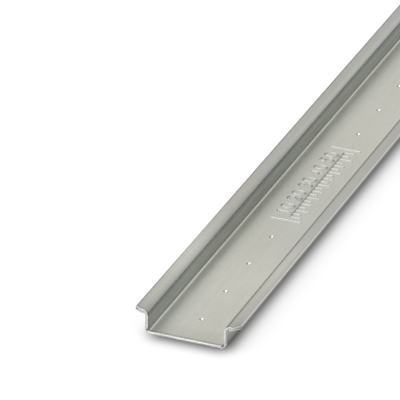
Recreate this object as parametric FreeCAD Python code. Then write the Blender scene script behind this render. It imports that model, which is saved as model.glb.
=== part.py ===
# A steel mounting rail of top-hat section, 35 mm over its two lips and 7.5 mm high, rolled from one strip.
#
# A flat base carries two upright webs, and each web turns outwards into a lip that terminal blocks and
# switchgear clip onto. Small punched marks along the middle of the base guide a drill. Each end is cropped,
# and the crop takes the corners of the lips back at a slant.
#
# X runs across the rail, Y along it and Z up. The origin is the middle of the underside.
# Lengths are in millimetres.

import FreeCAD
import Part

import math
import os

# Length of the cut rail
rail_length = 500.0

# The rolled section
lip_span = 35.0
channel_width = 27.0
rail_height = 7.5
sheet = 1.0
inside_radius = 0.8
strip_edge_radius = 0.2

# The crop at each end: how far the tip of a lip stands back from the end of the base, and how far
# outside the web the slant begins
lip_setback = 2.6
crop_clearance = 0.6

# The punched drilling marks along the middle of the base, counted from the near end
mark_pitch = 20.0
first_mark = 13.5
end_margin = 5.0
mark_diameter = 1.5
mark_tip_diameter = 0.3
mark_depth = 0.45

# Three places in every twelve stay plain, where the base is kept for a raised field
places_per_repeat = 12
plain_places = (4, 5, 6)

# Room that a cut takes beyond the steel, so that no face of the cut lies on a face of the rail
cut_room = 2.0

half_length = rail_length / 2
half_lips = lip_span / 2
half_channel = channel_width / 2
lip_overhang = half_lips - half_channel
outside_radius = inside_radius + sheet


def rounded_outline(corners):
    """A closed wire in the plane of the near end through (x, z, radius) corners, with an arc at each."""
    points = [FreeCAD.Vector(x, -half_length, z) for x, z, _ in corners]
    edges = []
    first_start = None
    last_end = None
    for i, (_, _, radius) in enumerate(corners):
        corner = points[i]
        back = (points[i - 1] - corner).normalize()
        ahead = (points[(i + 1) % len(points)] - corner).normalize()
        half_angle = back.getAngle(ahead) / 2
        inwards = (back + ahead).normalize()
        centre = corner + inwards * (radius / math.sin(half_angle))
        start = corner + back * (radius / math.tan(half_angle))
        end = corner + ahead * (radius / math.tan(half_angle))
        if last_end is None:
            first_start = start
        else:
            edges.append(Part.LineSegment(last_end, start).toShape())
        edges.append(Part.Arc(start, centre - inwards * radius, end).toShape())
        last_end = end
    edges.append(Part.LineSegment(last_end, first_start).toShape())
    return Part.Wire(edges)


def hat_corners():
    """The section's sharp corners with each bend's radius, from under the right web round to the left."""
    inner_web = half_channel - sheet
    lip_underside = rail_height - sheet
    right_under = [
        (half_channel, 0.0, outside_radius),
        (half_channel, lip_underside, inside_radius),
        (half_lips, lip_underside, strip_edge_radius),
    ]
    right_over = [
        (half_lips, rail_height, strip_edge_radius),
        (inner_web, rail_height, outside_radius),
        (inner_web, sheet, inside_radius),
    ]
    right_side = right_under + right_over
    left_side = [(-x, z, radius) for x, z, radius in reversed(right_side)]
    return right_side + left_side


def rolled_strip():
    """The strip after rolling: the section carried along the whole length."""
    section = Part.Face(rounded_outline(hat_corners()))
    return section.extrude(FreeCAD.Vector(0, rail_length, 0))


def lip_crop(side, end):
    """The wedge taken off one corner of a lip, from just outside the web out past the lip's tip."""
    inner_x = half_channel + crop_clearance
    outer_x = half_lips + cut_room
    slant = lip_setback / (lip_overhang - crop_clearance)
    outer_y = half_length - slant * (outer_x - inner_x)
    beyond_y = half_length + cut_room
    plan = [
        (inner_x, half_length),
        (outer_x, outer_y),
        (outer_x, beyond_y),
        (inner_x, beyond_y),
    ]
    outline = [FreeCAD.Vector(side * x, end * y, -cut_room) for x, y in plan]
    wedge = Part.Face(Part.makePolygon(outline + outline[:1]))
    return wedge.extrude(FreeCAD.Vector(0, 0, rail_height + 2 * cut_room))


def drilling_mark(y):
    """The point that presses one mark into the base: a blunt cone whose wide end stands above the steel."""
    slope = (mark_diameter - mark_tip_diameter) / 2 / mark_depth
    wide_radius = mark_diameter / 2 + slope * mark_depth
    tip = FreeCAD.Vector(0, y, sheet - mark_depth)
    return Part.makeCone(mark_tip_diameter / 2, wide_radius, 2 * mark_depth, tip)


def mark_places():
    """Where the marks lie along the rail: every pitch from the near end, apart from the plain places."""
    room = rail_length - first_mark - end_margin
    count = int(room // mark_pitch) + 1
    kept = [i for i in range(count) if i % places_per_repeat not in plain_places]
    return [first_mark - half_length + i * mark_pitch for i in kept]


def make_rail():
    """The cropped and marked rail, in one solid."""
    crops = [lip_crop(side, end) for side in (-1, 1) for end in (-1, 1)]
    marks = [drilling_mark(y) for y in mark_places()]
    return rolled_strip().cut(Part.makeCompound(crops + marks))


os.makedirs("parts", exist_ok=True)
rail = make_rail()
rail.exportStep("parts/rail.step")
print(f"rail: {len(rail.Solids)} solid, valid {rail.isValid()}, {rail.Volume / 1000:.2f} cm3")
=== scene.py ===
import math

import bpy
import numpy as np
from mathutils import Matrix, Vector


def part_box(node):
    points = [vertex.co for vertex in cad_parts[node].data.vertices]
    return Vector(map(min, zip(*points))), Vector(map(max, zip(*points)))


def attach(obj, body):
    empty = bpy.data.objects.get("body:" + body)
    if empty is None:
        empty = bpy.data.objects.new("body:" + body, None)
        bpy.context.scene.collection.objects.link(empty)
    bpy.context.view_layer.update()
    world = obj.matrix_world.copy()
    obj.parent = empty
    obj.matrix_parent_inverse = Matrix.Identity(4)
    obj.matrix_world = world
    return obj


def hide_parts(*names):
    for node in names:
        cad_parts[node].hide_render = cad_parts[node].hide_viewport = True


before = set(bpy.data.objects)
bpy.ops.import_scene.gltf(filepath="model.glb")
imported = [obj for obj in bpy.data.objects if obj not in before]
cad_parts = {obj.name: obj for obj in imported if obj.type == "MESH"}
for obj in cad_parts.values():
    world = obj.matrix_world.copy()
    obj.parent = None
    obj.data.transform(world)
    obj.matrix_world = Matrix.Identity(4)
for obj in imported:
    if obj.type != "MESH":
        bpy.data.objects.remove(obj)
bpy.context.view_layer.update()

# A steel top-hat mounting rail, lying on its back. X runs across it, Y along it and Z up.
# Shapes are worked out in millimetres and put into their meshes in metres.
mm = 0.001
railLow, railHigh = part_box("rail")
halfLength = (railHigh.y - railLow.y) / 2 / mm
halfLips = (railHigh.x - railLow.x) / 2 / mm
railHeight = railHigh.z / mm

strip = {
    "sheet": 1.0,              # thickness of the steel
    "halfChannel": 13.5,       # from the middle to the outer face of a web
    "insideRadius": 0.8,       # of the two bends at the base
    "lipRadius": 0.4,          # and of the two at the lips, which look tighter in the light
    "slitRadius": 0.2,         # rounding of the strip's two long edges
    "slitReach": (0.42, 0.17),  # how far their dark tone reaches in, on the left and the right; on the left it runs past the rounding as painted dark reflection
    "slitBlend": 0.12,
    "arrisHighlight": (0.22, 0.16),    # a painted highlight on the right lip's arris: its distance from the tip, and its width
    "arrisHighlightEnds": (0.1, 0.3),  # it starts this far from each end, and takes this length to full strength
    "outerLeast": 0.3,         # share of the painted shade of the webs' outer sides at their top
    "outerFall": (-6.3, 4.5),  # it starts to grow at this height, counted downwards, and over this length
    # the mesh
    "bendSteps": 9,
    "webSteps": 6,             # up a web, where the bands of tone lie close together
    "webRuns": (2, 6),         # the webs' places among the section's runs
    "lineBesideBend": 0.12,    # mesh lines this close to a bend keep the flats flat
    "baseLines": (-11, -10, -8, -4.5, 4.5, 8),   # these carry the bands of the base, from its middle
    "lipStep": 0.36,           # between the mesh lines along a lip
    "cornerAngles": 4,         # points round a long edge's rounded corner
    "sheetSteps": 5,           # and steps between the two corners
    "rowSpacing": 12.5,        # of the mesh lines across the rail, away from marks and ends
    "rowStart": 5.0,           # the first one, from the near end
    "leastRow": 0.04,          # a line closer than this to the one before it is left out
    "slack": 1e-4,             # for comparing places that are rounded
}

crop = {
    # how far the cut of each lip stands back, at some distances from the middle
    "leftPlan": ((12.9, 0.0), (14.0, 1.0), (15.5, 1.15), (17.5, 2.6)),
    "rightPlan": ((13.0, 0.0), (13.7, 0.65), (15.1, 0.75), (16.1, 2.1), (16.8, 2.7), (17.5, 2.8)),
    # and how far its underside stands forward of its top
    "leftLean": ((13.3, 0.0), (13.9, 0.6), (15.0, 0.6), (16.0, 0.4), (17.5, 0.4)),
    "rightLean": ((13.3, 0.0), (14.5, 0.4), (17.5, 0.4)),
    "cornerWidth": 0.18,       # rounds the corners of these plans
    "fadeLength": 9.0,         # the mesh lines straighten out again over this length
    "lipRise": (12.6, 1.2),    # from here out small waves run along the cut, over this length
    "jitter": 0.07,
    "jitterLine": (3.4, 90, 5),   # their wavelength, the shift between the two ends, and the seed
    "lean": 0.05,              # the top of the base's end stands back by this much
    "leanFade": 2.5,
    "waviness": 0.4,           # share of the lean that comes and goes along the cut
    "leanLine": (9.0, 60, 3),
    "rollover": 0.08,          # rounding of the end's edges
    "rolloverSteps": 4,
    "rolloverLeast": 0.02,     # the share of it from which an edge counts as rounded
    "endLines": (0.3, 0.6, 1.0, 1.6, 2.4, 3.5, 7.0, 9.0),   # distances of the mesh lines near an end
    "lineGap": 0.05,           # no such line comes closer than this to the rounding
    "nickDepth": 0.7,          # small torn notch in each inner corner of the channel
    "nickWidth": 0.3,
    "nickLength": 1.2,         # along the rail
    "nickRise": (0.25, 0.2),   # the share of the thickness where it starts, and its step to full depth
    "nickPlaces": (0.45, 0.55),   # on the left and the right, as shares of the way round the bend
    "nickSlants": (-0.5, 0.9),  # how far it leans towards the middle on its way down
    "farFromCut": 40.0,        # from here on the cut has no say in the finish
}

# Pairs give where something starts or has its middle, and the length it takes or its width
tearing = {
    "burnished": (0.70, 0.08),  # share of the thickness that the blade cut smoothly
    "lipShare": 0.25,          # the lips are torn this much as strongly below it
    "leftTip": (16.3, 0.5),    # from here out the lower half of the left lip's end is torn
    "leftTipLow": (-0.1, 0.2),
    "leftFace": (13.5, 0.4),   # the rest of its face is a little torn too, below the top
    "leftFaceLow": (-0.4, 0.15),
    "leftShare": 0.33,
    "groove": (15.5, 0.4),     # from here out a torn groove runs through the right lip's end
    "grooveLine": (0.0, 0.17),
    "rightTip": (16.6, 0.3),
    "pits": ((13.75, -0.2, 0.3), (14.4, 0.1, 0.3), (15.2, 0.0, 0.22)),   # x, place in the sheet, size
    "stepBack": 0.06,          # of the torn part behind the smooth part
    "grain": 0.035,            # depth of its grain
    "grainSeed": 7,
    # how the cut's bright arris and the base's bright face lose strength
    "arrisLeft": (17.0, 0.3),
    "arrisLeftLoss": 0.8,
    "arrisRight": (16.7, 0.3),
    "baseFrom": (9.7, 9.2),    # the base's face starts this far along the strip, on the left and the right
    "baseBlend": 1.0,
    "baseDull": (-7.0, 3.0),
    "baseDullLoss": 0.3,
}

marks = {
    "pitch": 20.0,
    "first": 13.5,             # from the near end
    "endMargin": 5.0,
    "placesPerRepeat": 12,
    "plainPlaces": (4, 5, 6),  # the raised scale stands here
    "radius": 0.78,
    "depth": 0.3,
    "rimHeight": 0.03,
    "rim": (1.12, 0.12),       # its middle and width, as shares of the mark's radius
    "shadeRing": (0.75, 0.23),  # and those of the painted shade inside it
    "shadeTurn": (2.6, 0.9),    # how sharply the painted shade ends on the right, and how far over
    "shadeLeast": 0.25,         # what is left of it there
    "fineReach": 0.96,         # how far the fine mesh reaches round a mark
    "fineStep": 0.16,
    "calmReach": (1.1, 1.5),   # two more mesh lines keep the dimple to itself
    "span": 3.0,               # a mark changes nothing further out than this
}


def linked(name, data):
    # A new object in the scene
    obj = bpy.data.objects.new(name, data)
    bpy.context.scene.collection.objects.link(obj)
    return obj


def meshObject(name, points, faces, attributes):
    # points is an (n, 3) array in millimetres, and faces a list of (k, corners) index arrays
    mesh = bpy.data.meshes.new(name)
    corners = np.concatenate([f.ravel() for f in faces]).astype(np.int32)
    sizes = np.concatenate([np.full(len(f), f.shape[1]) for f in faces])
    starts = np.concatenate([[0], np.cumsum(sizes)[:-1]]).astype(np.int32)
    mesh.vertices.add(len(points))
    mesh.vertices.foreach_set("co", (points * mm).astype(np.float32).ravel())
    mesh.loops.add(len(corners))
    mesh.loops.foreach_set("vertex_index", corners)
    mesh.polygons.add(len(sizes))
    mesh.polygons.foreach_set("loop_start", starts)
    mesh.update(calc_edges=True)
    mesh.validate()
    mesh.polygons.foreach_set("use_smooth", np.ones(len(mesh.polygons), bool))
    for key, values in attributes.items():
        flat = values.ndim == 1
        layer = mesh.attributes.new(key, "FLOAT" if flat else "FLOAT_VECTOR", "POINT")
        layer.data.foreach_set("value" if flat else "vector", values.astype(np.float32).ravel())
    return linked(name, mesh)


def smooth(t):
    # 3t^2 - 2t^3, held at 0 and 1 outside that range
    t = np.clip(t, 0, 1)
    return t * t * (3 - 2 * t)


def rise(value, span):
    # That smooth step, from 0 at the span's start to 1 one length further on
    start, length = span
    return smooth((value - start) / length)


def bell(value, span):
    # e^-(d^2), with d the distance from the span's middle over its width
    middle, width = span
    return np.exp(-((value - middle) / width) ** 2)


def wander(places, scale, seed):
    # A calm random line between about -1 and 1: the mean of four sines of falling wavelength, random phases
    rng = np.random.default_rng(seed)
    waves = scale / np.array([1.0, 1.7, 2.9, 4.6])
    phases = rng.uniform(0, 2 * np.pi, 4)
    return np.sin(np.asarray(places)[..., None] * 2 * np.pi / waves + phases).mean(-1) * 1.6


def stripRuns():
    # The middle line of the sheet, from the left lip's tip to the right one's, as runs of
    # (length, curvature). A bend's curvature is one over the radius of the sheet's middle.
    lower = strip["insideRadius"] + strip["sheet"] / 2
    upper = strip["lipRadius"] + strip["sheet"] / 2
    outer = strip["insideRadius"] + strip["sheet"]
    quarter = math.pi / 2
    lip = halfLips - strip["halfChannel"] - strip["lipRadius"]
    web = railHeight - strip["lipRadius"] - strip["sheet"] - outer
    base = 2 * (strip["halfChannel"] - outer)
    half = [(lip, 0.0), (upper * quarter, -1 / upper), (web, 0.0), (lower * quarter, 1 / lower)]
    return half + [(base, 0.0)] + half[::-1]


def runKnots():
    # Where the runs meet: sums of their lengths, from 0 to the whole strip's width
    return np.concatenate([[0], np.cumsum([length for length, _ in stripRuns()])])


def middleLine(s):
    # Heading h grows by curvature times length. Along a straight run x = x0 + d cos h and z = z0 + d sin h.
    # Along an arc x = x0 + (sin(h + kd) - sin h) / k and z = z0 + (cos h - cos(h + kd)) / k.
    runs = np.array(stripRuns())
    length, bend = runs[:, 0], runs[:, 1]
    knots = runKnots()
    heading = np.concatenate([[0], np.cumsum(length * bend)])

    def along(k, h, d):
        curved = np.abs(k) > 0
        safe = np.where(curved, k, 1.0)
        dx = np.where(curved, (np.sin(h + k * d) - np.sin(h)) / safe, d * np.cos(h))
        dz = np.where(curved, (np.cos(h) - np.cos(h + k * d)) / safe, d * np.sin(h))
        return dx, dz

    stepX, stepZ = along(bend, heading[:-1], length)
    startX = -halfLips + np.concatenate([[0], np.cumsum(stepX)])
    startZ = railHeight - strip["sheet"] / 2 + np.concatenate([[0], np.cumsum(stepZ)])
    i = np.clip(np.searchsorted(knots, s, side="right") - 1, 0, len(runs) - 1)
    dx, dz = along(bend[i], heading[i], s - knots[i])
    return startX[i] + dx, startZ[i] + dz, heading[i] + bend[i] * (s - knots[i])


def sectionPoint(s, t):
    # A point of the section: s along the middle line, and t through the sheet towards the channel's side
    x, z, h = middleLine(s)
    return x - t * np.sin(h), z + t * np.cos(h)


def partShares(s):
    # How far a place on the strip belongs to the lips, the webs and the base: each share is 1 on its flat and
    # changes smoothly over the bends
    knots = runKnots()
    half = np.minimum(s, knots[-1] - s)
    lip = 1 - smooth((half - knots[1]) / (knots[2] - knots[1]))
    base = smooth((half - knots[3]) / (knots[4] - knots[3]))
    return lip, 1 - lip - base, base


def linesAtMark():
    # Even fine steps across a mark, and the calm lines on both sides
    fine = np.arange(-marks["fineReach"], marks["fineReach"] + 1e-6, marks["fineStep"])
    calm = np.array(marks["calmReach"])
    return np.concatenate([fine, calm, -calm])


def acrossStations():
    # Where the mesh lines stand along the strip's section: even steps along the lips, round the bends and up
    # the webs, a few on the base, and fine ones at its middle for the marks
    runs, knots = stripRuns(), runKnots()
    total = knots[-1]
    close = strip["lineBesideBend"]
    edge = strip["slitRadius"] + close
    lipSteps = np.arange(edge, runs[0][0], strip["lipStep"])
    parts = [lipSteps, total - lipSteps]
    for i, (_, bend) in enumerate(runs):
        a, b = knots[i], knots[i + 1]
        if bend:
            parts.append(np.linspace(a, b, strip["bendSteps"] + 1)[1:-1])
        else:
            parts.append([a, (a + b) / 2, b])
            steps = strip["webSteps"] if i in strip["webRuns"] else 1
            parts.append(np.linspace(a + close, b - close, steps + 1))
    parts.append(total / 2 + np.concatenate([linesAtMark(), strip["baseLines"]]))
    s = np.unique(np.round(np.concatenate(parts), 4))
    kept = s[(s > edge - strip["slack"]) & (s < total - edge + strip["slack"])]
    return np.concatenate([[0], kept, [total]]), total


def thicknessStations():
    # Even angles round the two rounded corners of a long edge, and even steps between them
    radius = strip["slitRadius"] / strip["sheet"]
    upper = 0.5 - radius + radius * np.cos(np.linspace(0, np.pi / 2, strip["cornerAngles"]))
    flat = np.linspace(0.5 - radius, radius - 0.5, strip["sheetSteps"] + 1)[1:-1]
    return np.concatenate([upper, flat, -upper[::-1]])


def markPlaces():
    # Every pitch from the near end, apart from the plain places
    room = 2 * halfLength - marks["first"] - marks["endMargin"]
    i = np.arange(int(room // marks["pitch"]) + 1)
    kept = i[~np.isin(i % marks["placesPerRepeat"], marks["plainPlaces"])]
    return marks["first"] - halfLength + kept * marks["pitch"]


def alongStations():
    # Even steps along the rail, fine ones across each mark, and a few that close up on the ends
    nearEnd = halfLength - np.array(crop["endLines"])
    parts = [np.arange(-halfLength + strip["rowStart"], halfLength, strip["rowSpacing"]), nearEnd, -nearEnd]
    parts += [place + linesAtMark() for place in markPlaces()]
    y = np.unique(np.round(np.concatenate(parts), 3))
    return y[np.diff(y, prepend=-1e9) > strip["leastRow"]]


def planned(x, leftPoints, rightPoints):
    # A plan drawn point to point on each side, taken as the mean of two places one corner width apart
    left, right = np.array(crop[leftPoints]).T, np.array(crop[rightPoints]).T
    values = 0
    for step in (-0.5, 0.5):
        out = np.abs(x) + step * crop["cornerWidth"]
        values = values + np.where(x < 0, np.interp(out, *left), np.interp(out, *right)) / 2
    return values


def sheared(s, t, y):
    # x, y and z of strip places. The section gives x and z. Near an end y moves back by three amounts that
    # fade out along the rail: the cut of the lips, the lean of the base's end, and the corner nicks.
    x, z = sectionPoint(s, t)
    _, _, base = partShares(s)
    runs, total = stripRuns(), runKnots()[-1]
    fromEnd = halfLength - np.abs(y)
    high = 0.5 + t / strip["sheet"]

    def line(key):
        wavelength, shift, seed = crop[key]
        return wander(s + shift * np.sign(y), wavelength, seed)

    jitter = crop["jitter"] * (1 + line("jitterLine")) * rise(np.abs(x), crop["lipRise"])
    leaning = planned(x, "leftLean", "rightLean") * (1 - high)
    plan = planned(x, "leftPlan", "rightPlan")
    back = (plan + jitter - leaning) * smooth(1 - fromEnd / crop["fadeLength"])
    uneven = 1 + crop["waviness"] * line("leanLine")
    back += crop["lean"] * uneven * high * base * smooth(1 - fromEnd / crop["leanFade"])
    place, slant = (np.where(x < 0, *crop[key]) for key in ("nickPlaces", "nickSlants"))
    corner = sum(length for length, _ in runs[:3]) + place * runs[3][0] + slant * (1 - high)
    away = np.minimum(s, total - s) - corner
    nick = bell(away, (0.0, crop["nickWidth"])) * rise(high, crop["nickRise"])
    nick *= smooth(1 - fromEnd / crop["nickLength"])
    back += crop["nickDepth"] * nick
    return np.stack([x, y - np.sign(y) * np.maximum(back, 0), z], -1), nick


def tornShare(x, t, lip):
    # How torn each place of a cut face is: the greatest of some smooth steps (the face's lower part, the left
    # lip's tip and face, the right lip's tip) and bell curves (the right lip's groove, and the pits)
    low = rise(0.5 - t / strip["sheet"], tearing["burnished"])
    shares = [
        low * np.where(lip > 0.5, tearing["lipShare"], 1),
        rise(-x, tearing["leftTip"]) * rise(-t, tearing["leftTipLow"]),
        tearing["leftShare"] * rise(-x, tearing["leftFace"]) * rise(-t, tearing["leftFaceLow"]),
        rise(x, tearing["groove"]) * bell(t, tearing["grooveLine"]),
        rise(x, tearing["rightTip"]),
    ]
    for pitX, pitT, size in tearing["pits"]:
        shares.append(np.exp(-((x - pitX) ** 2 + (t - pitT) ** 2) / size ** 2))
    return np.maximum.reduce(shares)


# Soft bands of painted highlight and painted shade on the channel's side: place along the strip from the left
# edge, width and brightness. Those named near fade out along the rail.
paintedBands = {
    "lipFall": (3.7, 0.5, 0.91),
    "bendCrown": (4.55, 0.2, 1.28),
    "underBend": (5.1, 0.35, 0.84),
    "webStreak": (6.2, 0.6, 1.1),
    "webFoot": (8.5, 1.1, 0.87),
    "crease": (11.15, 0.55, 1.36),
    "besideWeb": (14.2, 2.2, 0.90),
    "bendLine": (41.8, 0.45, 0.3),
    "nearFoot": (12.1, 1.3, 1.36),
    "nearBend": (4.5, 0.4, 1.3),
    "nearWeb": (6.8, 1.0, 1.12),
    "nearRightLip": (44.4, 1.5, 0.9),
    "farBend": (3.9, 0.8, 1.24),
}

# Places and lengths along the rail for the painted sheen and bands, in millimetres from the near end
tones = {
    "sheen": (42.0, 21.0),     # a soft painted highlight patch, and how much brighter it makes each part
    "lipSheen": 0.21,
    "webSheen": 0.05,
    "baseSheen": 0.08,
    "lipInner": (15.3, 1.2),   # across the right lip it ends here
    "farBase": (100.0, 60.0),  # further along a painted highlight brightens the base again
    "farSheen": 0.09,
    "slitPatch": (52.0, 24.0),  # another painted highlight patch lights the left lip's edge
    "slitSheen": 0.5,
    "nearLength": 14.0,        # the near bands fade out over this length
    "webGap": (60.0, 22.0),    # the band beside the web is missing here
    "farRise": (80.0, 90.0),   # and the far bend's band starts here
}


def shading(x, s, t, fromNear, lip, web, base):
    # How bright each place of the strip is, in painted light and shade: one plus the painted sheen, which is
    # a bell curve along the rail and a smooth step further on, times one for each band plus its bell curve
    # across
    patch = bell(fromNear, tones["sheen"])
    inner = lip * (1 - rise(x, tones["lipInner"]))
    sheen = patch * (tones["lipSheen"] * inner + tones["webSheen"] * web + tones["baseSheen"] * base)
    sheen += tones["farSheen"] * base * rise(fromNear, tones["farBase"])
    near = np.exp(-fromNear / tones["nearLength"])
    along = {"besideWeb": 1 - bell(fromNear, tones["webGap"]), "farBend": rise(fromNear, tones["farRise"])}
    value = 1 + sheen
    for name, (place, width, factor) in paintedBands.items():
        share = bell(s, (place, width)) * (t > 0) * (near if name.startswith("near") else along.get(name, 1))
        value *= 1 + (factor - 1) * share
    return value


def railPiece():
    # The strip is a block in (s, t, y): along the section, through the sheet and along the rail. Its long
    # faces are the section's outline carried along y, and each end is the whole (s, t) grid.
    s, total = acrossStations()
    t = thicknessStations()
    n, m = len(s), len(t)
    sheet = strip["sheet"]
    radius = strip["slitRadius"] / sheet
    over = np.clip(np.abs(t) - (0.5 - radius), 0, radius)
    bulge = (radius - np.sqrt(radius * radius - over * over)) * sheet
    gridS = np.repeat(s[:, None], m, 1)
    gridS[0] = bulge
    gridS[-1] = total - bulge
    gridS = gridS.ravel()
    gridT = np.tile(t, n)

    # the outline's places in the grid: top side left to right, right edge, underside back, left edge
    ring = np.concatenate([
        np.arange(n) * m,
        (n - 1) * m + np.arange(1, m),
        np.arange(n - 2, -1, -1) * m + (m - 1),
        np.arange(m - 2, 0, -1),
    ])
    count = len(ring)
    inner = np.setdiff1d(np.arange(n * m), ring)

    # towards an end the outline draws in and y advances along a quarter circle, which rounds the cut's edges
    turn = np.linspace(0, np.pi / 2, crop["rolloverSteps"] + 1)
    endInset = crop["rollover"] * (1 - np.cos(turn))
    endY = halfLength - crop["rollover"] * (1 - np.sin(turn))
    straight = alongStations()
    y = np.concatenate([-endY[::-1], straight[np.abs(straight) < endY[0] - crop["lineGap"]], endY])
    inset = np.concatenate([endInset[::-1], np.zeros(len(y) - 2 * len(endY)), endInset])

    def drawnIn(places, amount):
        # strip places moved in from the outline by an amount: s is held inside, and t is squeezed
        inS = np.clip(gridS[places], amount, total - amount)
        return inS, gridT[places] * (sheet - 2 * amount)

    ringS, ringT = drawnIn(ring[None, :], inset[:, None])
    ringY = np.repeat(y[:, None], count, 1)
    endS, endT = drawnIn(inner, endInset[-1])
    endPlaces = np.full(len(inner), halfLength)
    allS = np.concatenate([ringS.ravel(), endS, endS])
    allT = np.concatenate([ringT.ravel(), endT, endT])
    allY = np.concatenate([ringY.ravel(), -endPlaces, endPlaces])
    points, nick = sheared(allS, allT, allY)
    sidePoints = len(y) * count

    # the torn part of each end stands back and is grainy
    cutFace = np.zeros(len(points))
    cutFace[sidePoints:] = 1
    x = points[:, 0]
    lip, web, base = partShares(allS)
    torn = tornShare(x, allT, lip) * cutFace
    rough = np.random.default_rng(tearing["grainSeed"]).random(len(points))
    points[:, 1] -= np.sign(allY) * torn * (tearing["stepBack"] + tearing["grain"] * rough)

    # each mark is a round dimple: half a cosine wave deep, with a low rim round it
    places = markPlaces()
    nearest = places[np.argmin(np.abs(y[:, None] - places[None, :]), 1)]
    top = points[:sidePoints].reshape(len(y), count, 3)
    reach = np.hypot(top[:, :, 0], (y - nearest)[:, None]) / marks["radius"]
    pit = marks["depth"] * (0.5 + 0.5 * np.cos(np.pi * np.clip(reach, 0, 1)))
    rim = marks["rimHeight"] * bell(reach, marks["rim"])
    onBase = (np.arange(count) < n)[None, :] & (np.abs(top[:, :, 0]) < marks["span"])
    top[:, :, 2] += np.where(onBase, rim - pit, 0)
    # painted shade lies in a ring inside the dimple, most of it on the left: half less half a tanh across
    turnRate, turnShift = marks["shadeTurn"]
    onLeftHalf = 0.5 - 0.5 * np.tanh(turnRate * top[:, :, 0] / marks["radius"] + turnShift)
    dimpleShade = bell(reach, marks["shadeRing"]) * (marks["shadeLeast"] + (1 - marks["shadeLeast"]) * onLeftHalf)
    paintedShade = np.zeros(len(points))
    paintedShade[:sidePoints] = np.where(onBase, dimpleShade, 0).ravel()

    k = np.arange(len(y) - 1)[:, None] * count
    j = np.arange(count)[None, :]
    nextJ = (j + 1) % count
    sides = np.stack([k + j, k + nextJ, k + count + nextJ, k + count + j], -1).reshape(-1, 4)
    faces = [sides]
    for end, ringStart, innerStart in ((-1, 0, sidePoints), (1, sidePoints - count, sidePoints + len(inner))):
        index = np.empty(n * m, int)
        index[ring] = ringStart + np.arange(count)
        index[inner] = innerStart + np.arange(len(inner))
        index = index.reshape(n, m)
        cells = np.stack([index[:-1, :-1], index[1:, :-1], index[1:, 1:], index[:-1, 1:]], -1).reshape(-1, 4)
        faces.append(cells if end > 0 else cells[:, ::-1])

    # where each tone of the finish lies, painted light and shade among them
    tip = np.minimum(allS, total - allS)
    onLeft = allS < total / 2
    fromNear = allY + halfLength
    fromEnd = halfLength - np.abs(allY)
    # the slit's own dark edge; on the left it runs past the rounding as painted dark reflection, and a
    # painted highlight patch lightens it
    slit = smooth((np.where(onLeft, *strip["slitReach"]) - tip) / strip["slitBlend"]) * (1 - cutFace)
    slit *= np.where(onLeft, 1 - tones["slitSheen"] * bell(fromNear, tones["slitPatch"]), 1)
    # a painted highlight along the right lip's outer arris
    arrisHighlight = bell(tip, strip["arrisHighlight"]) * (allT > 0) * ~onLeft * (1 - cutFace)
    arrisHighlight *= rise(fromEnd, strip["arrisHighlightEnds"])
    # the rounded edges of the ends; on the base's top edge their colour is a dark line of painted shade
    rounded = np.repeat((inset > crop["rollover"] * crop["rolloverLeast"])[:, None], count, 1)
    arris = np.concatenate([rounded.ravel(), np.zeros(2 * len(inner))])
    arris *= 1 - tearing["arrisLeftLoss"] * rise(-x, tearing["arrisLeft"]) - rise(x, tearing["arrisRight"])
    arris *= 1 - base * (allT < 0)
    baseCut = smooth((tip - np.where(onLeft, *tearing["baseFrom"])) / tearing["baseBlend"])
    baseCut *= 1 - tearing["baseDullLoss"] * bell(x, tearing["baseDull"])
    lowDown = strip["outerLeast"] + (1 - strip["outerLeast"]) * rise(-points[:, 2], strip["outerFall"])
    return meshObject("rolledRail", points, faces, {
        "stripPlace": np.stack([allS, allY, allT], -1),
        "lipPart": lip,
        "webPart": web,
        "fromCut": np.minimum(fromEnd, crop["farFromCut"]),
        "shade": shading(x, allS, allT, fromNear, lip, web, base),
        "arrisHighlightShare": arrisHighlight,
        "slitEdge": slit,
        "cutArris": arris,
        "cutFace": cutFace,
        "baseCut": baseCut,
        "tornFace": np.maximum(torn, nick * cutFace),
        # painted shade inside the corner notches
        "cutNick": nick * smooth(1 - fromEnd / crop["nickLength"]),
        "paintedShade": paintedShade,
        # painted shade on the webs' outer sides, growing towards the floor
        "outerSide": web * (allT < 0) * lowDown,
    })


scale = {
    "start": 88.8,             # from the near end, and again after each repeat of the marks
    "length": 50.0,
    "halfStroke": 0.46,
    "height": 0.24,
    "sunk": 0.03,              # the stroke's foot dips this far into the steel, and its back further
    "backDepth": 0.25,
    "profileSteps": 10,
    "pathStep": 0.3,
    "capStart": 0.25,          # a free end's rows run from this share of a quarter turn to the whole
    "capRows": 5,
    "arcPoints": 25,
    "tickPitch": 2.5,
    "tickLengths": (4.8, 3.0, 3.9, 3.0),   # at a number, and at the three places before the next
    "barPlaces": (-2.6, 52.6),  # two bars across the strip close the field
    "barReach": 5.5,
    "firstNumberTick": 2,
    "numberStep": 10,
    "baseline": -0.45,         # this far up from the middle, and up is towards the left lip
    "digitFoot": 0.65,
    "digitHeight": 4.4,
    "digitWidth": 3.1,
    "digitGap": 1.1,
    "footShade": 0.5,           # the strokes' feet carry this much painted shade, from this share of the half width out
    "footShadeFrom": (0.5, 0.35),
}


def arc(centre, radii, start, end):
    # Points of an ellipse about centre between two angles in degrees
    a = np.radians(np.linspace(start, end, scale["arcPoints"]))
    return np.stack([centre[0] + radii[0] * np.cos(a), centre[1] + radii[1] * np.sin(a)], -1)


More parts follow.
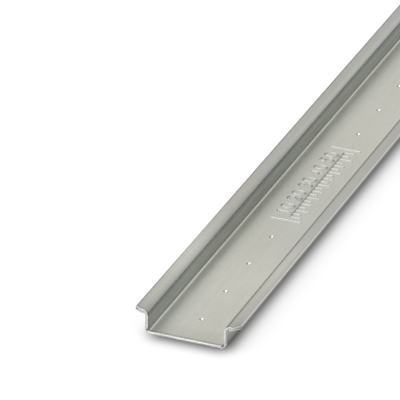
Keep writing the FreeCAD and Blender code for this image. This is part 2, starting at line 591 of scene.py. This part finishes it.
def digitStrokes(digit):
    # The strokes of a plain digit in a box one wide and one high. Two of its ends close where they meet.
    if digit == 0:
        return [arc((0.5, 0.5), (0.46, 0.5), 0, 360)]
    if digit == 1:
        return [np.array([(0.55, 0), (0.55, 1)]), np.array([(0.2, 0.76), (0.55, 1)])]
    if digit == 2:
        neck = np.concatenate([arc((0.5, 0.7), (0.44, 0.3), 160, -30), [(0.06, 0)]])
        return [neck, np.array([(0.06, 0), (0.98, 0)])]
    if digit == 3:
        return [arc((0.46, 0.76), (0.4, 0.24), 150, -90), arc((0.46, 0.26), (0.46, 0.26), 90, -150)]
    if digit == 4:
        lines = ((0.72, 0), (0.72, 1)), ((0.68, 1), (0.04, 0.32)), ((0.04, 0.32), (1, 0.32))
        return [np.array(line) for line in lines]
    bowl = arc((0.46, 0.32), (0.46, 0.33), 125, -150)
    return [np.array([(0.9, 1), (0.2, 1)]), np.array([(0.2, 1), (0.14, 0.56)]), bowl]


def ridge(path):
    # A raised stroke along a path of (u, v) points. Across it, with e from -1 to 1, its height is the full
    # height times (1 - e^2)^2. Towards a free end the width and height shrink as a quarter circle. A path
    # that ends where it starts is a ring and doesn't shrink. The fourth number of each point is |e|.
    leg = np.hypot(*np.diff(path, axis=0).T)
    run = np.concatenate([[0], np.cumsum(leg)])
    closed = np.allclose(path[0], path[-1])
    half = scale["halfStroke"]
    if closed:
        at = np.linspace(0, run[-1], int(run[-1] / scale["pathStep"]) + 1)[:-1]
        taper = np.ones(len(at))
    else:
        cap = half * (1 - np.cos(np.linspace(scale["capStart"], 1, scale["capRows"]) * np.pi / 2))[:-1]
        count = max(int((run[-1] - 2 * half) / scale["pathStep"]), 1)
        at = np.concatenate([cap, np.linspace(half, run[-1] - half, count + 1), (run[-1] - cap)[::-1]])
        near = np.clip(np.minimum(at, run[-1] - at) / half, 0, 1)
        taper = np.sqrt(1 - (1 - near) ** 2)
    middle = np.stack([np.interp(at, run, path[:, 0]), np.interp(at, run, path[:, 1])], -1)
    ahead = np.roll(middle, -1, 0) - np.roll(middle, 1, 0) if closed else np.gradient(middle, axis=0)
    ahead /= np.hypot(*ahead.T)[:, None]
    side = np.stack([-ahead[:, 1], ahead[:, 0]], -1)
    e = np.linspace(-1, 1, scale["profileSteps"] + 1)
    e = np.concatenate([e, e[-2:0:-1]])
    onTop = np.arange(len(e)) <= scale["profileSteps"]
    plan = middle[:, None, :] + side[:, None, :] * (half * taper[:, None] * e[None, :])[..., None]
    lift = (scale["height"] + scale["sunk"]) * (1 - e * e) ** 2 * taper[:, None] - scale["sunk"]
    z = strip["sheet"] + np.where(onTop[None, :], lift, -scale["backDepth"])
    across = np.broadcast_to(np.abs(e)[None, :, None], z.shape + (1,))
    points = np.concatenate([plan, z[..., None], across], -1)
    rows, cols = z.shape
    k = np.arange(rows if closed else rows - 1)[:, None]
    j = np.arange(cols)[None, :]
    nextK, nextJ = (k + 1) % rows, (j + 1) % cols
    quads = np.stack([k * cols + j, nextK * cols + j, nextK * cols + nextJ, k * cols + nextJ], -1)
    caps = [] if closed else [np.arange(cols)[None, :], ((rows - 1) * cols + np.arange(cols))[None, ::-1]]
    return points.reshape(-1, 4), [quads.reshape(-1, 4)] + caps


def scaleStrokes():
    # One field of the raised scale, as paths of (u, v): u runs along the rail and v up the numbers
    baseline, first, places = scale["baseline"], scale["firstNumberTick"], len(scale["tickLengths"])
    width, gap = scale["digitWidth"], scale["digitGap"]
    size = np.array([width, scale["digitHeight"]])
    paths = [np.array([(0, baseline), (scale["length"], baseline)])]
    paths += [np.array([(u, -scale["barReach"]), (u, scale["barReach"])]) for u in scale["barPlaces"]]
    for i, u in enumerate(np.arange(0, scale["length"] + scale["tickPitch"] / 2, scale["tickPitch"])):
        step = (i - first) % places
        paths.append(np.array([(u, baseline), (u, baseline - scale["tickLengths"][step])]))
        if step == 0:
            number = str(((i - first) // places + 1) * scale["numberStep"])
            start = u - (len(number) * (width + gap) - gap) / 2
            for k, digit in enumerate(number):
                corner = np.array([start + k * (width + gap), scale["digitFoot"]])
                paths += [corner + stroke * size for stroke in digitStrokes(int(digit))]
    return paths


def scalePiece():
    # All strokes of all fields in one mesh. u becomes y, and v becomes -x.
    repeat = marks["pitch"] * marks["placesPerRepeat"]
    points, faces, offset = [], [], 0
    for start in np.arange(scale["start"], 2 * halfLength - scale["length"], repeat):
        for path in scaleStrokes():
            p, f = ridge(path)
            points.append(np.stack([-p[:, 1], start - halfLength + p[:, 0], p[:, 2], p[:, 3]], -1))
            faces += [part + offset for part in f]
            offset += len(p)
    points = np.concatenate(points)
    points, across = points[:, :3], points[:, 3]
    middle = runKnots()[-1] / 2
    place = np.stack([middle + points[:, 0], points[:, 1], points[:, 2] - strip["sheet"] / 2], -1)
    quads = np.concatenate([f for f in faces if f.shape[1] == 4])
    caps = np.concatenate([f for f in faces if f.shape[1] != 4])
    return meshObject("raisedScale", points, [quads, caps], {
        "stripPlace": place,
        "fromCut": np.full(len(points), crop["farFromCut"]),
        "raisedPart": np.ones(len(points)),
        "shade": np.ones(len(points)),
        # painted shade at the strokes' feet
        "paintedShade": scale["footShade"] * rise(across, scale["footShadeFrom"]),
    })


def newMaterial(name):
    # A material with an empty node tree
    material = bpy.data.materials.new(name)
    material.use_nodes = True
    material.node_tree.nodes.clear()
    return material, material.node_tree


def node(tree, kind, x, y, sources={}, **settings):
    # A node at a place of the tree's drawing, with its settings. Each source goes to the input with its
    # number or name, as another node's output or as a plain value.
    made = tree.nodes.new(kind)
    made.location = (x, y)
    for key, value in settings.items():
        setattr(made, key, value)
    for key, source in sources.items():
        if isinstance(source, bpy.types.NodeSocket):
            tree.links.new(source, made.inputs[key])
        else:
            made.inputs[key].default_value = source
    return made


def sums(tree, operation, a, b, x, y, clamp=False):
    # One step of arithmetic
    made = node(tree, "ShaderNodeMath", x, y, {0: a, 1: b}, operation=operation, use_clamp=clamp)
    return made.outputs[0]


def times(tree, a, b, x, y):
    # The product of two
    return sums(tree, "MULTIPLY", a, b, x, y)


def ranged(tree, value, span, result, x, y, kind="LINEAR"):
    # A value carried from one range to another, and held at its ends
    sources = dict(enumerate((value, *span, *result)))
    return node(tree, "ShaderNodeMapRange", x, y, sources, interpolation_type=kind).outputs[0]


def stepped(tree, value, span, result, x, y):
    # The same along a smooth step
    return ranged(tree, value, span, result, x, y, "SMOOTHSTEP")


def mixed(tree, factor, a, b, x, y):
    # a plus factor times (b - a), on plain numbers
    return node(tree, "ShaderNodeMix", x, y, {0: factor, 2: a, 3: b}, data_type="FLOAT").outputs[0]


def blended(tree, kind, factor, a, b, x, y):
    # The same on colours, or their product
    sources = {0: factor, 6: a, 7: b}
    return node(tree, "ShaderNodeMix", x, y, sources, data_type="RGBA", blend_type=kind).outputs[2]


def greyOf(tree, tone, x, y):
    # A number as a grey colour
    return node(tree, "ShaderNodeCombineColor", x, y, {i: tone for i in range(3)}).outputs[0]


def noise(tree, place, stretch, detail, x, y):
    # Noise on the strip's own places, stretched by waves per millimetre
    mapping = node(tree, "ShaderNodeMapping", x - 200, y, {"Vector": place, "Scale": stretch})
    sources = {"Vector": mapping.outputs[0], "Scale": 1.0, "Detail": detail}
    return node(tree, "ShaderNodeTexNoise", x, y, sources).outputs[0]


# Waves per millimetre across, along and through the sheet, and the noise's detail
patterns = {
    "lines": ((3.2, 0.012, 3.2), 3.0),
    "fineLines": ((11.0, 0.05, 11.0), 2.0),
    "clouds": ((0.22, 0.1, 0.3), 4.0),
    "patches": ((0.035, 0.016, 0.2), 2.0),
    "grain": ((7.0, 5.0, 7.0), 2.0),
    "shearLines": ((2.2, 0.0, 1.1), 3.0),
    "webClouds": ((1.0, 0.04, 1.0), 4.0),
}

zinc = {
    "baseColour": (0.595, 0.596, 0.535, 1),
    # the lips and webs are darker copies of the base colour: painted shade, with slight hues of their own
    "lipColour": (0.502, 0.499, 0.459, 1),
    "webColour": (0.462, 0.488, 0.462, 1),
    "outerShadeColour": (0.36, 0.355, 0.33, 1),   # painted shade on the webs' outer sides, low down under the lips
    # the raised scale's darker copy of the base colour is painted shade
    "raisedColour": (0.455, 0.455, 0.437, 1),
    "warmTint": (1.006, 1.0, 0.988, 1),
    "coolTint": (0.996, 1.0, 1.008, 1),
    "tintSpan": (0.35, 0.65),
    "slitColour": (0.18, 0.176, 0.172, 1),   # the strip's own edge, cut before it was rolled
    # a painted highlight on the right lip's arris
    "arrisHighlightColour": (0.80, 0.80, 0.79, 1),
    # painted shade in the dimples and at the raised strokes' feet
    "paintedShadeColour": (0.17, 0.17, 0.155, 1),
    # painted shade inside the corner notches
    "nickShadeColour": (0.18, 0.18, 0.17, 1),
    # of the sheared faces: those of the webs and lips, and the base's, which is the brightest
    "cutColours": ((0.74, 0.745, 0.725, 1), (0.80, 0.805, 0.79, 1)),
    "tornColours": ((0.25, 0.25, 0.24, 1), (0.95, 0.95, 0.93, 1)),
    # of the cut's rounded edges: bright on the webs and lips, and on the base a dark line of painted shade
    "arrisColours": ((0.80, 0.80, 0.79, 1), (0.20, 0.20, 0.185, 1)),
    "cutTilt": 0.24,                         # the base's leans back a little more than its mesh
    # each pattern lies mostly within this span, and brightens or darkens the steel by so much
    "patternSpan": (0.3, 0.7),
    "patchTone": (0.98, 1.02),
    "rollingTones": (("clouds", (0.975, 1.02)), ("lines", (0.985, 1.015)), ("fineLines", (0.99, 1.01))),
    "webCloudTone": (-0.14, 0.14),
    "shearTone": (0.80, 1.14),
    "endShade": (0.885, 1.0),                # the steel is darker towards a cut, over these millimetres
    "endSpan": (0.0, 11.0),
    "behindShade": (0.68, 1.0),              # and a narrow line right behind the cut is darker still
    "behindSpan": (0.4, 1.2),
    "roughness": (0.31, 0.25),
    "roughLines": (-0.015, 0.015),
    "slitRoughness": 0.5,
    "cutRoughness": 0.36,
    "tornRoughness": 0.62,
    "bumpDepth": 0.000004,
    "bumpStrength": 0.7,
    "bumpLines": 0.5,                        # shares of the fine lines and the grain
    "bumpGrain": 0.6,
}


def zincFinish():
    # Rolled and zinc-plated strip. All patterns run on the strip's own places, so lines follow the bends.
    material, tree = newMaterial("zincPlatedSteel")

    def part(name, x, y, vector=False):
        made = node(tree, "ShaderNodeAttribute", x, y, attribute_name=name)
        return made.outputs["Vector" if vector else "Fac"]

    place = part("stripPlace", -1600, 0, vector=True)
    seen = {key: noise(tree, place, *pattern, -1100, 400 - 200 * i)
            for i, (key, pattern) in enumerate(patterns.items())}

    def swung(key, result, x, y):
        return ranged(tree, seen[key], zinc["patternSpan"], result, x, y)

    # the lips, webs, the webs' outer sides and the raised scale take darker colours of their own: painted
    # shade
    colour = zinc["baseColour"]
    sides = (("lipPart", "lipColour"), ("webPart", "webColour"), ("outerSide", "outerShadeColour"),
             ("raisedPart", "raisedColour"))
    for i, (share, side) in enumerate(sides):
        share = part(share, -800, 700 + 150 * i)
        colour = blended(tree, "MIX", share, colour, zinc[side], -500 + 80 * i, 700)
    warmth = ranged(tree, seen["patches"], zinc["tintSpan"], (0.0, 1.0), -800, -200)
    tint = blended(tree, "MIX", warmth, zinc["warmTint"], zinc["coolTint"], -500, -200)
    colour = blended(tree, "MULTIPLY", 1.0, colour, tint, -150, 700)

    # light and dark: broad patches, clouds, rolling lines, the painted sheen and bands of light and shade,
    # and the darkening towards a cut
    tone = swung("patches", zinc["patchTone"], -800, -350)
    for i, (key, result) in enumerate(zinc["rollingTones"]):
        tone = times(tree, tone, swung(key, result, -800, 400 - 150 * i), -500 + 150 * i, 0)
    tone = times(tree, tone, part("shade", -500, 1050), -50, 0)
    fromCut = part("fromCut", -800, 1350)
    darkerNearCut = stepped(tree, fromCut, zinc["endSpan"], zinc["endShade"], -500, 1250)
    line = stepped(tree, fromCut, zinc["behindSpan"], zinc["behindShade"], -500, 1400)
    tone = times(tree, tone, times(tree, darkerNearCut, line, -350, 1300), 0, 0)
    streaks = swung("webClouds", zinc["webCloudTone"], -800, -1100)
    streaks = times(tree, streaks, part("webPart", -800, -1250), -650, -1100)
    tone = times(tree, tone, sums(tree, "ADD", streaks, 1.0, -500, -1100), 50, 0)
    colour = blended(tree, "MULTIPLY", 1.0, colour, greyOf(tree, tone, 100, 0), 250, 400)

    cutPart = part("cutFace", -200, -400)
    tornPart = part("tornFace", -200, -500)
    slitPart = part("slitEdge", -200, 250)
    basePart = part("baseCut", -500, -750)
    cutColour, tornColour, arrisColour = (
        blended(tree, "MIX", basePart, *zinc[key], -350, -700 - 150 * i)
        for i, key in enumerate(("cutColours", "tornColours", "arrisColours")))
    sheen = greyOf(tree, swung("shearLines", zinc["shearTone"], -800, -600), -500, -600)
    cutColour = blended(tree, "MULTIPLY", 1.0, cutColour, sheen, -200, -600)
    # coats over the zinc: the slit's own edge, a painted highlight on the right lip's arris, painted shade in
    # the dimples, at the strokes' feet and in the corner notches, the cut's arris, and the cut with its torn
    # part
    coats = (
        (slitPart, zinc["slitColour"]),
        (part("arrisHighlightShare", 300, 650), zinc["arrisHighlightColour"]),
        (part("paintedShade", 380, 650), zinc["paintedShadeColour"]),
        (part("cutArris", 460, 650), arrisColour),
        (cutPart, cutColour),
        (tornPart, tornColour),
        (part("cutNick", 700, 650), zinc["nickShadeColour"]),
    )
    for i, (share, coat) in enumerate(coats):
        colour = blended(tree, "MIX", share, colour, coat, 400 + 80 * i, 400)

    # roughness follows the clouds and lines. The cut is a little rougher, and its torn part the roughest.
    rough = swung("clouds", zinc["roughness"], 250, 0)
    rough = sums(tree, "ADD", rough, swung("lines", zinc["roughLines"], 250, -150), 400, 0)
    steps = ((slitPart, "slitRoughness"), (cutPart, "cutRoughness"), (tornPart, "tornRoughness"))
    for i, (share, key) in enumerate(steps):
        rough = mixed(tree, share, rough, zinc[key], 550 + 150 * i, 0)

    fine = times(tree, seen["fineLines"], zinc["bumpLines"], 700, -150)
    height = sums(tree, "ADD", fine, times(tree, seen["grain"], zinc["bumpGrain"], 700, -300), 850, -300)
    height = sums(tree, "ADD", height, times(tree, seen["shearLines"], cutPart, 700, -500), 1000, -300)
    # the base's cut leans back: its height falls evenly towards the top
    through = node(tree, "ShaderNodeSeparateXYZ", -1300, -900, {0: place})
    steep = zinc["cutTilt"] * mm / zinc["bumpDepth"] / zinc["bumpStrength"]
    tilt = times(tree, through.outputs["Z"], -steep, -1100, -900)
    tilt = times(tree, tilt, times(tree, cutPart, basePart, -950, -1000), -800, -900)
    bump = node(tree, "ShaderNodeBump", 1050, -200, {
        "Strength": zinc["bumpStrength"],
        "Distance": zinc["bumpDepth"],
        "Height": sums(tree, "ADD", height, tilt, 1020, -450),
    })
    shader = node(tree, "ShaderNodeBsdfPrincipled", 1200, 0, {
        "Base Color": colour,
        "Metallic": 1.0,
        "Roughness": rough,
        "Normal": bump.outputs[0],
    })
    node(tree, "ShaderNodeOutputMaterial", 1500, 0, {"Surface": shader.outputs["BSDF"]})
    return material


camera = {
    "lens": 453.03,
    "sensor": 36.0,
    "azimuth": 21.4157,
    "elevation": 27.0888,
    "roll": 0.8361,
    "distance": 1629.34,
    "aimX": -31.242,
    "aimY": 90.232,            # from the near end
    "clip": (0.05, 60),        # metres
}


def addCamera():
    # The camera looks at the aim point on the floor. Its three axes follow from azimuth, elevation and roll.
    az, el, roll = (math.radians(camera[k]) for k in ("azimuth", "elevation", "roll"))
    right = np.array([math.cos(az), math.sin(az), 0])
    ahead = np.array([-math.sin(az) * math.cos(el), math.cos(az) * math.cos(el), -math.sin(el)])
    up = np.cross(right, ahead)
    tilted = math.cos(roll) * right + math.sin(roll) * up
    upright = -math.sin(roll) * right + math.cos(roll) * up
    aim = np.array([camera["aimX"], camera["aimY"] - halfLength, 0])
    place = (aim - ahead * camera["distance"]) * mm
    data = bpy.data.cameras.new("camera")
    data.lens = camera["lens"]
    data.sensor_width = camera["sensor"]
    data.clip_start, data.clip_end = camera["clip"]
    obj = linked("camera", data)
    matrix = np.eye(4)
    matrix[:3] = np.stack([tilted, upright, -ahead, place], -1)
    obj.matrix_world = Matrix(matrix.tolist())
    bpy.context.scene.camera = obj


# Lengths in metres, directions as parts of a unit vector
studio = {
    "floorHalf": 8.0,
    "floorHeight": -3e-5,
    "floorColour": 0.2,
    "floorGlow": 0.81,         # added where the camera and reflections see the floor
    "shortRay": 0.0005,        # rays this short pass through it
    "horizon": (0.78, 0.06),   # brightness of the room at the horizon on the left and the right
    "middle": 0.89,            # and part way up and overhead
    "overhead": 1.30,
    "heights": (0.42, 0.88),   # of those two
    "sideSpan": (-0.45, 0.45),  # from left to right
    "sides": (1.04, 0.90),     # the room is a little darker on the right
    "frontFill": 1.5,          # a soft panel low in front
    "frontSpan": (-0.15, -0.8),
    "frontFall": (0.12, 0.46),  # it ends at this height
    "below": 0.8,
    "belowFrom": -0.03,
}

contactShade = {
    "sides": (-5.46, 8.3),     # the shade's core in millimetres, from left to right
    "insets": (7.0, 9.0),      # and how far in it lies from the near and far ends
    "fades": (7.49, 10.19),    # across and along
    "power": 3.0,
    "softness": 1.259,
}

keyLamp = {
    "place": (-0.7, 0.5, 1.7),
    "aim": (0, 0, 0),
    "size": (1.2, 1.2),
    "power": 9.6,
}


def addFloor():
    # A white sheet. Its shade is darkest under the rail and fades off a core rectangle as
    # 1 - e^-(d^softness), with d the sum of (distance / fade)^power across and along the rail, as soft light
    # from behind on the left leaves it.
    h, low = studio["floorHalf"], studio["floorHeight"]
    mesh = bpy.data.meshes.new("floor")
    mesh.from_pydata([(-h, -h, low), (h, -h, low), (h, h, low), (-h, h, low)], [], [(0, 1, 2, 3)])
    floor = linked("floor", mesh)
    material, tree = newMaterial("paleFloor")
    place = node(tree, "ShaderNodeTexCoord", -1200, 0)
    split = node(tree, "ShaderNodeSeparateXYZ", -1000, 0, {0: place.outputs["Object"]})
    near, far = contactShade["insets"]
    core = (contactShade["sides"], (near - halfLength, halfLength - far))
    parts = []
    for i, ((start, end), fade) in enumerate(zip(core, contactShade["fades"])):
        centre, half = (start + end) / 2 * mm, (end - start) / 2 * mm
        off = sums(tree, "SUBTRACT", split.outputs[i], centre, -800, -150 * i)
        off = sums(tree, "ABSOLUTE", off, 0.0, -650, -150 * i)
        beyond = sums(tree, "SUBTRACT", off, half, -500, -150 * i)
        beyond = sums(tree, "MAXIMUM", beyond, 0.0, -350, -150 * i)
        beyond = sums(tree, "DIVIDE", beyond, fade * mm, -200, -150 * i)
        parts.append(sums(tree, "POWER", beyond, contactShade["power"], -50, -150 * i))
    distance = sums(tree, "ADD", parts[0], parts[1], 100, 0)
    distance = sums(tree, "POWER", distance, contactShade["softness"], 250, 0)
    fallen = sums(tree, "EXPONENT", times(tree, distance, -1.0, 350, 0), 0.0, 450, 0)
    shade = sums(tree, "SUBTRACT", 1.0, fallen, 550, 0)

    grey = greyOf(tree, times(tree, shade, studio["floorColour"], 300, 250), 450, 250)
    paint = node(tree, "ShaderNodeBsdfDiffuse", 600, 100, {"Color": grey})
    path = node(tree, "ShaderNodeLightPath", -200, -400)
    seen = sums(tree, "ADD", path.outputs["Is Camera Ray"], path.outputs["Is Glossy Ray"], 0, -400)
    seen = sums(tree, "ADD", seen, path.outputs["Is Transmission Ray"], 150, -400, clamp=True)
    amount = times(tree, seen, studio["floorGlow"], 300, -400)
    glow = node(tree, "ShaderNodeEmission", 600, -100, {"Strength": times(tree, amount, shade, 450, -300)})
    both = node(tree, "ShaderNodeAddShader", 800, 0, {0: paint.outputs[0], 1: glow.outputs[0]})

    # from below the sheet is clear, also for the very short rays between it and the rail's underside
    clear = node(tree, "ShaderNodeBsdfTransparent", 800, -200)
    side = node(tree, "ShaderNodeNewGeometry", 450, 450)
    short = sums(tree, "LESS_THAN", path.outputs["Ray Length"], studio["shortRay"], 450, 600)
    passes = sums(tree, "MAXIMUM", side.outputs["Backfacing"], short, 650, 450)
    pick = node(tree, "ShaderNodeMixShader", 1000, 0, {0: passes, 1: both.outputs[0], 2: clear.outputs[0]})
    node(tree, "ShaderNodeOutputMaterial", 1200, 0, {"Surface": pick.outputs[0]})
    mesh.materials.append(material)


def addWorld():
    # The room's brightness by direction: two smooth steps up from the horizon, a slope from left to right and
    # a soft panel low in front. The camera sees plain white.
    world = bpy.data.worlds.new("studio")
    bpy.context.scene.world = world
    world.use_nodes = True
    tree = world.node_tree
    tree.nodes.clear()
    where = node(tree, "ShaderNodeTexCoord", -800, 0)
    split = node(tree, "ShaderNodeSeparateXYZ", -600, 0, {0: where.outputs["Generated"]})
    eastward, inward, upward = split.outputs
    middle, heights = studio["middle"], studio["heights"]
    horizon = stepped(tree, eastward, studio["sideSpan"], studio["horizon"], -600, 200)
    lower = stepped(tree, upward, (0.0, heights[0]), (horizon, middle), -400, 200)
    higher = stepped(tree, upward, heights, (0.0, studio["overhead"] - middle), -400, 0)
    slope = stepped(tree, eastward, studio["sideSpan"], studio["sides"], -400, -200)
    sky = times(tree, sums(tree, "ADD", lower, higher, -200, 100), slope, 0, 100)
    front = stepped(tree, inward, studio["frontSpan"], (0.0, studio["frontFill"]), -400, -400)
    low = stepped(tree, upward, studio["frontFall"], (1.0, 0.0), -400, -600)
    sky = sums(tree, "ADD", sky, times(tree, front, low, -200, -400), 200, 100)
    under = sums(tree, "LESS_THAN", upward, studio["belowFrom"], 0, -200)
    path = node(tree, "ShaderNodeLightPath", 200, 300)
    sky = mixed(tree, under, sky, studio["below"], 400, 0)
    sky = mixed(tree, path.outputs["Is Camera Ray"], sky, 1.0, 600, 0)
    back = node(tree, "ShaderNodeBackground", 1000, 0, {"Strength": sky})
    node(tree, "ShaderNodeOutputWorld", 1200, 0, {"Surface": back.outputs[0]})


def addLamp():
    # A square lamp whose -Z points at its aim
    data = bpy.data.lights.new("keyLamp", "AREA")
    data.shape = "RECTANGLE"
    data.size, data.size_y = keyLamp["size"]
    data.energy = keyLamp["power"]
    obj = linked("keyLamp", data)
    obj.location = keyLamp["place"]
    ahead = Vector(keyLamp["aim"]) - Vector(keyLamp["place"])
    obj.rotation_euler = ahead.to_track_quat("-Z", "Y").to_euler()


print("camera and studio")
bpy.context.scene.view_settings.view_transform = "Standard"
addCamera()
addFloor()
addWorld()
addLamp()

print("rail")
steel = zincFinish()
rail = railPiece()
rail.data.materials.append(steel)
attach(rail, "root")
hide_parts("rail")

print("raised scale")
raised = scalePiece()
raised.data.materials.append(steel)
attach(raised, "root")

print("sizes")
bpy.context.view_layer.update()
print(len(rail.data.vertices), "points in the rail")
